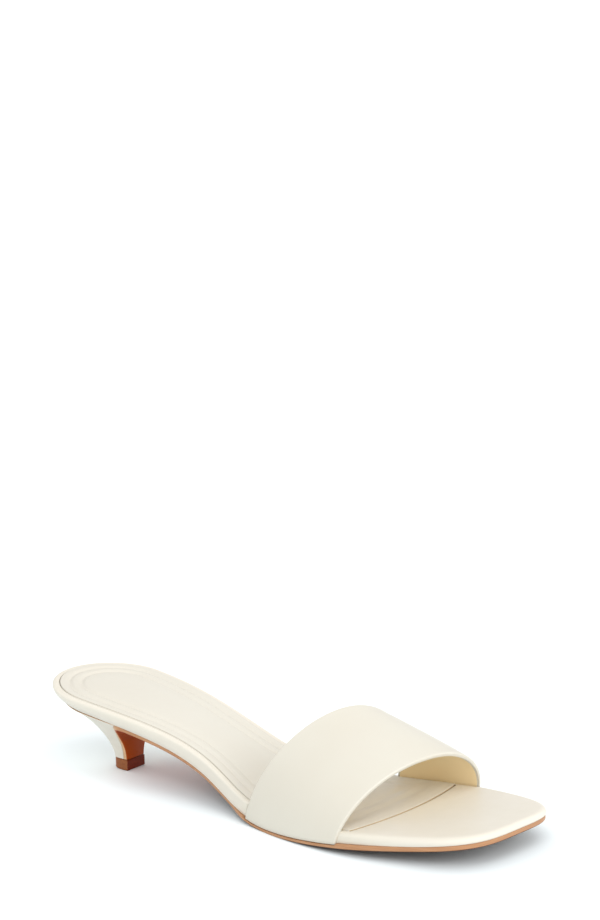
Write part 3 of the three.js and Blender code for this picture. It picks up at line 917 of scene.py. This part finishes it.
class Nodes:
    """A material's node tree, with short calls to add nodes and join them."""

    def __init__(self, name):
        self.material = bpy.data.materials.new(name)
        self.material.use_nodes = True
        self.tree = self.material.node_tree
        self.shader = self.tree.nodes["Principled BSDF"]
        self.place = self.add("ShaderNodeTexCoord").outputs["Object"]

    def add(self, kind, **values):
        made = self.tree.nodes.new(kind)
        for name, value in values.items():
            made.inputs[name.replace("_", " ").title()].default_value = value
        return made

    def join(self, output, socket):
        self.tree.links.new(output, socket)

    def noise(self, scale, detail=3.0, stretch=None):
        made = self.add("ShaderNodeTexNoise", scale=scale, detail=detail)
        self.join(self.stretched(stretch), made.inputs["Vector"])
        return made.outputs["Fac"]

    def cells(self, scale, feature="F1"):
        made = self.add("ShaderNodeTexVoronoi", scale=scale)
        made.feature = feature
        self.join(self.place, made.inputs["Vector"])
        return made.outputs["Distance"]

    def stretched(self, stretch):
        if stretch is None:
            return self.place
        made = self.add("ShaderNodeMapping", scale=stretch)
        self.join(self.place, made.inputs["Vector"])
        return made.outputs["Vector"]

    def along(self):
        """The place along the shoe, in metres."""
        made = self.add("ShaderNodeSeparateXYZ")
        self.join(self.place, made.inputs["Vector"])
        return made.outputs["X"]

    def ramp(self, value, low, high, from_low=0.35, from_high=0.65):
        made = self.add("ShaderNodeMapRange", from_min=from_low, from_max=from_high,
                        to_min=low, to_max=high)
        self.join(value, made.inputs["Value"])
        return made.outputs["Result"]

    def mix(self, factor, first, second):
        made = self.add("ShaderNodeMix")
        made.data_type = "RGBA"
        self.join(factor, made.inputs["Factor"])
        for socket, colour in (("A", first), ("B", second)):
            target = [s for s in made.inputs if s.name == socket and s.type == "RGBA"][0]
            if isinstance(colour, tuple):
                target.default_value = (*colour, 1)
            else:
                self.join(colour, target)
        return [s for s in made.outputs if s.type == "RGBA"][0]

    def mottle(self, fine, colours):
        """A pair of colours that mix by a fine noise."""
        light, dark = (linear(*colour) for colour in colours)
        return self.mix(self.ramp(fine, 0.0, 1.0), light, dark)

    def combine(self, first, second, share):
        made = self.add("ShaderNodeMath")
        made.operation = "MULTIPLY_ADD"
        self.join(second, made.inputs[0])
        made.inputs[1].default_value = share
        self.join(first, made.inputs[2])
        return made.outputs[0]

    def colour(self, output):
        self.join(output, self.shader.inputs["Base Color"])

    def bump(self, height, strength, distance=0.0001):
        made = self.add("ShaderNodeBump", strength=strength, distance=distance)
        self.join(height, made.inputs["Height"])
        self.join(made.outputs["Normal"], self.shader.inputs["Normal"])


def linear(red, green, blue):
    """A colour given as a screen shows it, for a shader."""

    def turn(channel):
        c = channel / 255
        return c / 12.92 if c <= 0.04045 else ((c + 0.055) / 1.055) ** 2.4

    return turn(red), turn(green), turn(blue)


def leather(name, colours, rough=0.42, grain=1900.0):
    """Smooth dyed leather: a fine grain of pores, faint clouds of colour and a soft gloss."""
    made = Nodes(name)
    made.colour(made.mottle(made.noise(scale=22.0, detail=4.0), colours))
    pores = made.cells(scale=grain, feature="SMOOTH_F1")
    height = made.combine(pores, made.noise(scale=grain * 0.35, detail=4.0), share=0.8)
    made.bump(height, strength=0.12, distance=0.00012)
    gloss = made.ramp(made.noise(scale=160.0), rough - 0.04, rough + 0.05)
    made.join(gloss, made.shader.inputs["Roughness"])
    made.shader.inputs["Specular IOR Level"].default_value = 0.42
    return made.material


def sole_edge():
    """The cut edge of sole leather: fibres packed in fine layers along the edge, waxed."""
    made = Nodes("sole_edge")
    layers = made.noise(scale=420.0, detail=4.0, stretch=(0.12, 0.12, 3.0))
    forward = made.ramp(made.along(), 0.0, 1.0, *EDGE_DARKENS)
    lights, darks = zip(FLAP_EDGE, ARCH_EDGE)
    light = made.mix(forward, *(linear(*colour) for colour in lights))
    dark = made.mix(forward, *(linear(*colour) for colour in darks))
    made.colour(made.mix(made.ramp(layers, 0.0, 1.0), light, dark))
    made.bump(layers, strength=0.2)
    made.shader.inputs["Roughness"].default_value = 0.46
    return made.material


def sole_grain():
    """The outsole's smooth face, stained brown at the heel and darker towards the tread."""
    made = Nodes("sole_grain")
    stain = made.noise(scale=30.0, detail=5.0, stretch=(0.35, 1.0, 1.0))
    forward = made.ramp(made.along(), 0.0, 1.0, *STAIN_DARKENS)
    heel = made.mottle(stain, HEEL_STAIN)
    tread = made.mottle(stain, TREAD_STAIN)
    made.colour(made.mix(forward, heel, tread))
    height = made.combine(made.cells(scale=1500.0), made.noise(scale=500.0, detail=4.0), share=0.8)
    made.bump(height, strength=0.12)
    gloss = made.ramp(made.noise(scale=90.0, detail=4.0), 0.34, 0.46)
    made.join(gloss, made.shader.inputs["Roughness"])
    made.shader.inputs["Specular IOR Level"].default_value = 0.15
    return made.material


def tip_rubber(name, colours):
    """The hard brown rubber of the heel tip, with the fine marks of its grinding."""
    made = Nodes(name)
    made.colour(made.mottle(made.noise(scale=900.0, detail=4.0), colours))
    made.bump(made.noise(scale=700.0, stretch=(0.3, 0.3, 2.0)), strength=0.15)
    made.shader.inputs["Roughness"].default_value = 0.48
    made.shader.inputs["Specular IOR Level"].default_value = 0.2
    return made.material


def floor_paper():
    made = Nodes("floor_paper")
    made.shader.inputs["Base Color"].default_value = (*FLOOR_COLOUR, 1)
    made.shader.inputs["Roughness"].default_value = 0.9
    made.shader.inputs["Specular IOR Level"].default_value = 0.1
    return made.material


# The camera, fitted to the photograph's frame in pixels, with its target in the drawing
PHOTO_WIDTH, PHOTO_HEIGHT = 600, 920
CAMERA_AZIMUTH = 38.372
CAMERA_ELEVATION = 17.317
CAMERA_ROLL = 0.778
CAMERA_DISTANCE = 1336.2
CAMERA_TARGET = (124.0, 0.0, 25.0)
TARGET_PIXEL = (279.0, 745.8)
FOCAL_PIXELS = 3066.9
SENSOR = 36.0
CLIP = (0.05, 50)

# The floor just under the sole, in metres, and the lights: name, azimuth, elevation, strength
FLOOR = -0.0001
FLOOR_SIZE = 20.0
FLOOR_COLOUR = (0.88, 0.935, 0.955)
WORLD_STRENGTH = 0.82
SUN_ANGLE = 35.0
SUNS = [
    ("front", 25, 40, 0.3),
    ("above", 80, 65, 0.1),
    ("right", 85, 25, 0.4),
    ("back_right", 158, 25, 0.11),
    ("left", 270, 30, 0.11),
]


def direction(azimuth, elevation):
    """From the shoe towards a place round it, in degrees from its outer side."""
    azimuth, elevation = math.radians(azimuth), math.radians(elevation)
    return Vector((
        math.sin(azimuth) * math.cos(elevation),
        -math.cos(azimuth) * math.cos(elevation),
        math.sin(elevation),
    ))


def make_camera():
    """The photograph's own view of the shoe."""
    azimuth = math.radians(CAMERA_AZIMUTH)
    back = direction(CAMERA_AZIMUTH, CAMERA_ELEVATION)
    right = Vector((math.cos(azimuth), math.sin(azimuth), 0))
    up = back.cross(right)
    aim = Vector((
        (TARGET_PIXEL[0] - PHOTO_WIDTH / 2) / FOCAL_PIXELS,
        -(TARGET_PIXEL[1] - PHOTO_HEIGHT / 2) / FOCAL_PIXELS,
        1,
    ))
    turn = Vector((0, 0, 1)).rotation_difference(aim.normalized()).to_matrix()
    roll = Matrix.Rotation(math.radians(CAMERA_ROLL), 3, "Z")
    view = roll @ turn @ Matrix((right, up, -back))
    target = (Vector(CAMERA_TARGET) + Vector(ORIGIN)) * MM
    camera = bpy.data.objects.new("camera", bpy.data.cameras.new("camera"))
    camera.matrix_world = Matrix.LocRotScale(
        target + back * CAMERA_DISTANCE * MM,
        Matrix((view[0], view[1], -view[2])).transposed().to_quaternion(),
        None,
    )
    camera.data.sensor_fit = "VERTICAL"
    camera.data.sensor_height = SENSOR
    camera.data.lens = FOCAL_PIXELS * SENSOR / PHOTO_HEIGHT
    camera.data.clip_start, camera.data.clip_end = CLIP
    bpy.context.scene.collection.objects.link(camera)
    bpy.context.scene.camera = camera


def make_sun(name, azimuth, elevation, strength):
    """A broad soft light from far away, which lights the whole floor alike."""
    data = bpy.data.lights.new(name, "SUN")
    data.energy = math.pi * strength
    data.angle = math.radians(SUN_ANGLE)
    made = bpy.data.objects.new(name, data)
    towards = -direction(azimuth, elevation)
    made.rotation_euler = towards.to_track_quat("-Z", "Y").to_euler()
    bpy.context.scene.collection.objects.link(made)


def make_floor():
    corners = [(-1, -1), (1, -1), (1, 1), (-1, 1)]
    mesh = bpy.data.meshes.new("floor")
    points = [(FLOOR_SIZE * x, FLOOR_SIZE * y, FLOOR) for x, y in corners]
    mesh.from_pydata(points, [], [(0, 1, 2, 3)])
    mesh.materials.append(floor_paper())
    made = bpy.data.objects.new("floor", mesh)
    bpy.context.scene.collection.objects.link(made)
    made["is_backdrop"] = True


def make_world():
    """The white light that comes from all round the studio."""
    world = bpy.data.worlds.new("studio")
    world.use_nodes = True
    background = world.node_tree.nodes["Background"]
    background.inputs["Color"].default_value = (1, 1, 1, 1)
    background.inputs["Strength"].default_value = WORLD_STRENGTH
    bpy.context.scene.world = world
    bpy.context.scene.view_settings.view_transform = "Standard"


# The finished shoe
def dress(made, node, materials, index=None):
    """A finished piece: its materials, the body it rides on and the solid it stands for."""
    for material in materials:
        made.data.materials.append(material)
    if index is not None:
        made.data.polygons.foreach_set("material_index", index)
    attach(made, "root")
    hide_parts(node)


def dress_shoe():
    cream = leather("cream_leather", CREAM)
    strap_cream = leather("strap_cream", STRAP_CREAM, rough=0.4)
    lining = leather("lining_leather", LINING, rough=0.5, grain=1500.0)
    sock_cream = leather("sock_cream", SOCK_CREAM, rough=0.45, grain=1700.0)
    sock_cut_edge_and_shade = leather("sock_cut_edge_and_shade", SOCK_CUT_EDGE_AND_SHADE, rough=0.6, grain=1500.0)
    crease_shade_tan = leather("crease_shade_tan", CREASE_SHADE_TAN, rough=0.5, grain=1500.0)
    tip_side = tip_rubber("tip_rubber", TIP_SIDE)
    tip_front = tip_rubber("tip_stained", TIP_FRONT)

    outsole, index = make_outsole()
    dress(outsole, "outsole", [sole_edge(), sole_grain()], index)
    dress(make_footbed(), "footbed", [cream])
    sock, index = make_sock()
    dress(sock, "sock", [sock_cream, sock_cut_edge_and_shade], index)
    strap, index = make_strap()
    dress(strap, "strap", [strap_cream, lining], index)
    heel, index = make_heel()
    dress(heel, "heel", [cream, crease_shade_tan], index)
    top_piece, index = make_top_piece()
    dress(top_piece, "top_piece", [tip_side, tip_front], index)


make_camera()
make_floor()
make_world()
for light in SUNS:
    make_sun(*light)
dress_shoe()

plain = lambda bounds: [[float(value) for value in corner] for corner in bounds]
{"cad": plain(CAD_BOX), "visual": plain(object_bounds())}
